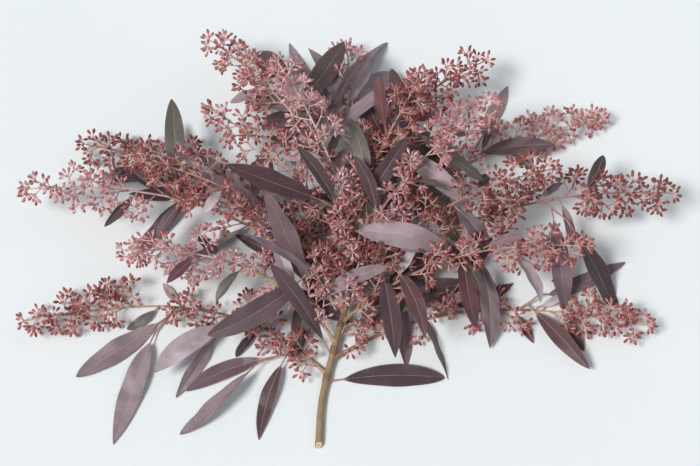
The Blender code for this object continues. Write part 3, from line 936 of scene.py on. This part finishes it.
def umbel(stalk, draw):
    """(foot, direction, size) of each nut of an umbel: four around it and up to four more."""
    heading = (stalk[-1] - stalk[0]).normalized()
    end = stalk[-1] - heading * 0.5 * MM
    turned = heading.to_track_quat("Z", "Y")
    nuts = []
    for k in range(8):
        lean = NUT_LEAN if k % 2 else math.radians(draw.uniform(*OUT_LEANS))
        azimuth = math.radians(45 * k + (0 if k % 2 else draw.uniform(-12, 12)))
        if k % 2 == 0 and draw.random() < MISSING_SHARE:
            continue
        if k == 0:
            lean = math.radians(draw.uniform(*TOP_LEANS))
        around = turned @ Vector((math.sin(azimuth), math.cos(azimuth), 0))
        foot = end + heading * 0.23 * MM + around * 0.5 * MM
        way = around * math.sin(lean) + heading * math.cos(lean)
        reach = NUT_LENGTH * draw.uniform(*(NUT_SIZES if k % 2 else EXTRA_NUT_SIZES))
        lowest = (NUT_CLEARANCE - foot.z) / reach
        if way.z < lowest:
            way = Vector((way.x, way.y, 0)).normalized() * math.sqrt(1 - lowest**2) + UP * lowest
        nuts.append((foot, way, reach / NUT_LENGTH))
    return nuts


def nut_template():
    route = [Vector((0, 0, z * MM)) for z, _ in NUT_FORM]
    radii = [radius * MM for _, radius in NUT_FORM]
    marks = (
        ("ripe", lambda *_: 0.0),
        ("nut_along", lambda row, _: NUT_FORM[row][0] / NUT_FORM[-1][0]),
    )
    body = skin(round_rings(route, radii, NUT_SIDES), marks)
    for face in body.faces:
        face.material_index = 1
    return as_mesh(body)


def stalk_skin(stalk, mean):
    """A side stalk, with a small knob where its nuts meet."""
    radii = [share(*STALK_RADII, n / STALK_STEPS) * MM for n in range(STALK_STEPS + 1)]
    radii[0] *= 1.5
    radii[-1] = KNOB_RADIUS * MM
    marks = (("ripe", lambda *_: mean), ("nut_along", lambda row, _: row / STALK_STEPS))
    return skin(round_rings(stalk, radii, STALK_SIDES), marks)


def stalk_finish():
    material, start = new_material("spray_stalk")
    where = coordinates(start)
    clouds = noise(start, where, 120, 3)
    powder = noise(start, where, 1800, 2)
    # Pale on the young sprays, salmon to cream on the middle ones and a dull red on the ripest.
    stops = (
        (0.05, tone(222, 202, 204)),
        (0.35, tone(214, 168, 164)),
        (0.6, tone(206, 166, 138)),
        (0.95, tone(164, 104, 96)),
    )
    fresh = start.node("ValToRGB", {"stops": stops}, {"Fac": mark(start, "ripe")}, "Color")
    colour = blend(rise(clouds, 0.35, 0.65) * 0.5, fresh, tone(158, 98, 92))
    colour = blend(rise(powder, 0.3, 0.8) * 0.36, colour, tone(230, 206, 202))
    return finish(material, colour, 0.66 + powder * 0.14, powder, 0.0001)


def nut_finish():
    material, start = new_material("nut_skin")
    where = coordinates(start)
    ripe = mark(start, "ripe")
    along = mark(start, "nut_along")
    clouds = noise(start, where, 240, 3)
    powder = noise(start, where, 3000, 2)
    stops = (
        (0.05, tone(234, 194, 202)),
        (0.3, tone(220, 150, 155)),
        (0.58, tone(206, 112, 105)),
        (0.82, tone(164, 70, 60)),
        (1.0, tone(126, 46, 46)),
    )
    body = start.node("ValToRGB", {"stops": stops}, {"Fac": ripe}, "Color")
    body = blend(rise(clouds, 0.38, 0.7) * 0.5, body, tone(118, 44, 49))
    cap = blend(rise(ripe, 0.0, 0.9), tone(194, 118, 120), tone(114, 40, 36))
    cap = blend(rise(clouds, 0.3, 0.7) * 0.5, cap, tone(104, 42, 41))
    colour = blend(rise(along, 0.735, 0.765), body, cap)
    ring = rise(along, 0.71, 0.735) * (1 - rise(along, 0.75, 0.775))
    colour = blend(ring * 0.7, colour, tone(104, 36, 34))
    colour = blend(rise(along, 0.93, 1.0) * 0.5, colour, tone(92, 42, 36))
    green = (1 - rise(ripe, -0.2, 0.0)) * (0.75 - ring * 0.3)
    unripe = blend(rise(along, 0.4, 0.9), tone(192, 176, 120), tone(160, 150, 92))
    colour = blend(green, colour, unripe)
    colour = blend(1 - rise(along, 0.3, 0.52), colour, tone(230, 194, 190))
    dust = rise(powder, 0.3, 0.85) * share(0.6, 0.16, rise(ripe, 0.0, 0.6))
    colour = blend(dust, colour, tone(244, 212, 212))
    return finish(material, colour, 0.6 + powder * 0.16, powder * 0.6 + clouds * 0.4, 0.00012)


def is_open(line, room, begin, trees):
    """True if a line of points keeps this far off these surfaces, beyond its first share."""
    whole = length_of(line)
    spots = stretch(line, whole * begin, whole, max(int(whole / ROOM_STEP), 2))
    return all(tree.find_nearest(spot, room)[0] is None for tree in trees for spot in spots)


def axis_line(axis):
    onward = (axis[1] - axis[0]).normalized()
    return smooth_route([axis[0] - onward * 1.2 * MM, *axis[1:]], AXIS_FINE_SAMPLES)


def axis_skin(fine, mean):
    radii = [share(*AXIS_RADII, n / AXIS_FINE_SAMPLES) * MM for n in range(len(fine))]
    marks = (("ripe", lambda *_: mean), ("nut_along", lambda row, _: row / AXIS_FINE_SAMPLES))
    return skin(round_rings(fine, radii, AXIS_SIDES), marks)


def side_stalks(wood, draw):
    """Stalks with umbels straight on a twig, each in the first direction that is free."""
    stalks = []
    whole = length_of(wood)
    count = int(whole / SIDE_STALK_EVERY)
    for n in range(1, count):
        root, growth = at_distance(wood, whole * n / count)
        for _ in range(SIDE_STALK_TRIES):
            turn = draw.uniform(-SIDE_STALK_TURN, SIDE_STALK_TURN)
            sideways = growth.cross(UP).normalized()
            aside = sideways * math.sin(turn) + UP * math.cos(turn)
            way = growth * 0.62 + aside * 0.78
            end = lifted(root + way * draw.uniform(*SIDE_STALK_LENGTHS) * MM, HEAD_CLEARANCE)
            stalk = bowed(nearest(pith, root), end, draw)
            if is_open(stalk, SIDE_STALK_ROOM, 0.35, (leaf_tree, wood_tree)):
                stalks.append(stalk)
                break
    return stalks


def ripe_of(mean, draw):
    """How ripe a nut is, from 0 to 1, or below 0 for one that is still green."""
    if draw.random() < GREEN_SHARE:
        return -1.0
    return max(draw.gauss(mean, RIPENESS_SPREAD), 0.02)


def mean_ripeness(number):
    """Steps of a golden section, so that neighbouring sprays differ."""
    return share(*RIPENESS, number * 0.618 % 1)


def spray_mesh(bodies, stalks, mean, draw):
    """The given stalks with their side branchlets and umbels, and every nut that has room."""
    nuts = []
    for first in stalks:
        for stalk in [first, *branchlets(first, draw)]:
            if not is_open(stalk, STALK_ROOM, 0, (leaf_tree,)):
                if stalk is first:
                    break
                continue
            fresh = []
            for base, way, size in umbel(stalk, draw):
                belly = base + way * 0.7 * NUT_LENGTH * size
                tip = base + way * NUT_LENGTH * size
                solids = (leaf_tree, wood_tree)
                room = all((belly - other).length > NUT_ROOM for other in taken)
                room = room and is_open((base, tip), TIP_ROOM, 0.1, solids)
                if room and is_open((belly, belly + way * MM), BELLY_ROOM, 0, solids):
                    turn = way.to_track_quat("Z", "Y").to_matrix().to_4x4()
                    turn = turn @ Matrix.Rotation(draw.uniform(0, math.tau), 4, "Z")
                    matrix = Matrix.Translation(base) @ turn @ Matrix.Scale(size, 4)
                    fresh.append((belly, matrix, ripe_of(mean, draw)))
            if stalk is first or len(fresh) > 1:
                bodies.append(stalk_skin(stalk, mean))
                taken.extend(belly for belly, _, _ in fresh)
                nuts += fresh
    meshes = [as_mesh(body) for body in bodies]
    for _, matrix, ripe in nuts:
        copy = nut.copy()
        copy.transform(matrix)
        copy.attributes["ripe"].data.foreach_set("value", [ripe] * len(copy.vertices))
        meshes.append(copy)
    return as_mesh(joined(meshes))


nut = nut_template()
finishes = (stalk_finish(), nut_finish())
# The middles of all the nuts that have been placed.
taken = []
for number, (_, axis, _) in enumerate(twigs, 1):
    draw = random.Random(400 + number)
    line = axis_line(axis)
    stalks = [bowed(nearest(line, root), end, draw) for root, end in stalk_ends(axis)]
    mean = mean_ripeness(number)
    mesh = spray_mesh([axis_skin(line, mean)], stalks, mean, draw)
    add_piece(f"gum_nuts_{number:02d}", mesh, f"nut_spray_{number:02d}", "gum_nut", *finishes)
# More stalks of nuts stand straight on the twigs and on the upper end of the stem.
for number, wood in enumerate([wood for wood, _, _ in twigs] + [coarse_stem[5:]], 1):
    draw = random.Random(600 + number)
    mesh = spray_mesh([], side_stalks(wood, draw), mean_ripeness(number), draw)
    add_piece(f"side_nuts_{number:02d}", mesh, None, "gum_nut", *finishes)
bpy.data.meshes.remove(nut)

# The studio: a plain pale floor with pale walls far off, a broad soft light from above on the
# left, a weaker one opposite, and a camera that looks down from the side of the cut end.

FLOOR_SIZE = 60
CAMERA_RISE = math.radians(66)
CAMERA_DISTANCE = 1.31
CAMERA_AIM = Vector((0, -0.008, 0.02))

body = bmesh.new()
bmesh.ops.create_grid(body, x_segments=8, y_segments=8, size=FLOOR_SIZE / 2)
floor_mesh = as_mesh(body)
material, start = new_material("paper_floor")
where = coordinates(start)
cloud = noise(start, where, 3, 2)
paper = blend(cloud, tone(236, 240, 241), tone(228, 233, 235))
tooth = noise(start, where, 400, 2)
floor_mesh.materials.append(finish(material, paper, 0.85 + cloud * 0.05, tooth, 0.0001))
floor = bpy.data.objects.new("floor", floor_mesh)
bpy.context.scene.collection.objects.link(floor)

world = bpy.data.worlds.new("studio")
world.use_nodes = True
start = Flow(world.node_tree)
height = start.node("SeparateXYZ", {}, {"Vector": coordinates(start)}, "Z")
walls = blend(rise(height, 0.05, 0.3), (0.8, 0.85, 0.87, 1), (0.29, 0.315, 0.34, 1))
world.node_tree.links.new(walls.socket, world.node_tree.nodes["Background"].inputs["Color"])
bpy.context.scene.world = world
bpy.context.scene.view_settings.view_transform = "Standard"

for name, spot, breadth, power, colour in (
    ("key_light", Vector((-0.9, -0.5, 1.5)), 19, 2.66, (1, 0.985, 0.96)),
    ("fill_light", Vector((1.3, 0.3, 1.1)), 45, 0.2, (0.95, 0.98, 1)),
):
    lamp = bpy.data.lights.new(name, "SUN")
    lamp.angle = math.radians(breadth)
    lamp.energy = power
    lamp.color = colour
    light = bpy.data.objects.new(name, lamp)
    light.location = spot
    light.rotation_euler = (-spot).to_track_quat("-Z", "Y").to_euler()
    bpy.context.scene.collection.objects.link(light)

lens = bpy.data.cameras.new("camera")
lens.lens = 80
camera = bpy.data.objects.new("camera", lens)
backward = Vector((0, -math.cos(CAMERA_RISE), math.sin(CAMERA_RISE)))
camera.location = CAMERA_AIM + backward * CAMERA_DISTANCE
camera.rotation_euler = backward.to_track_quat("Z", "Y").to_euler()
bpy.context.scene.collection.objects.link(camera)
bpy.context.scene.camera = camera
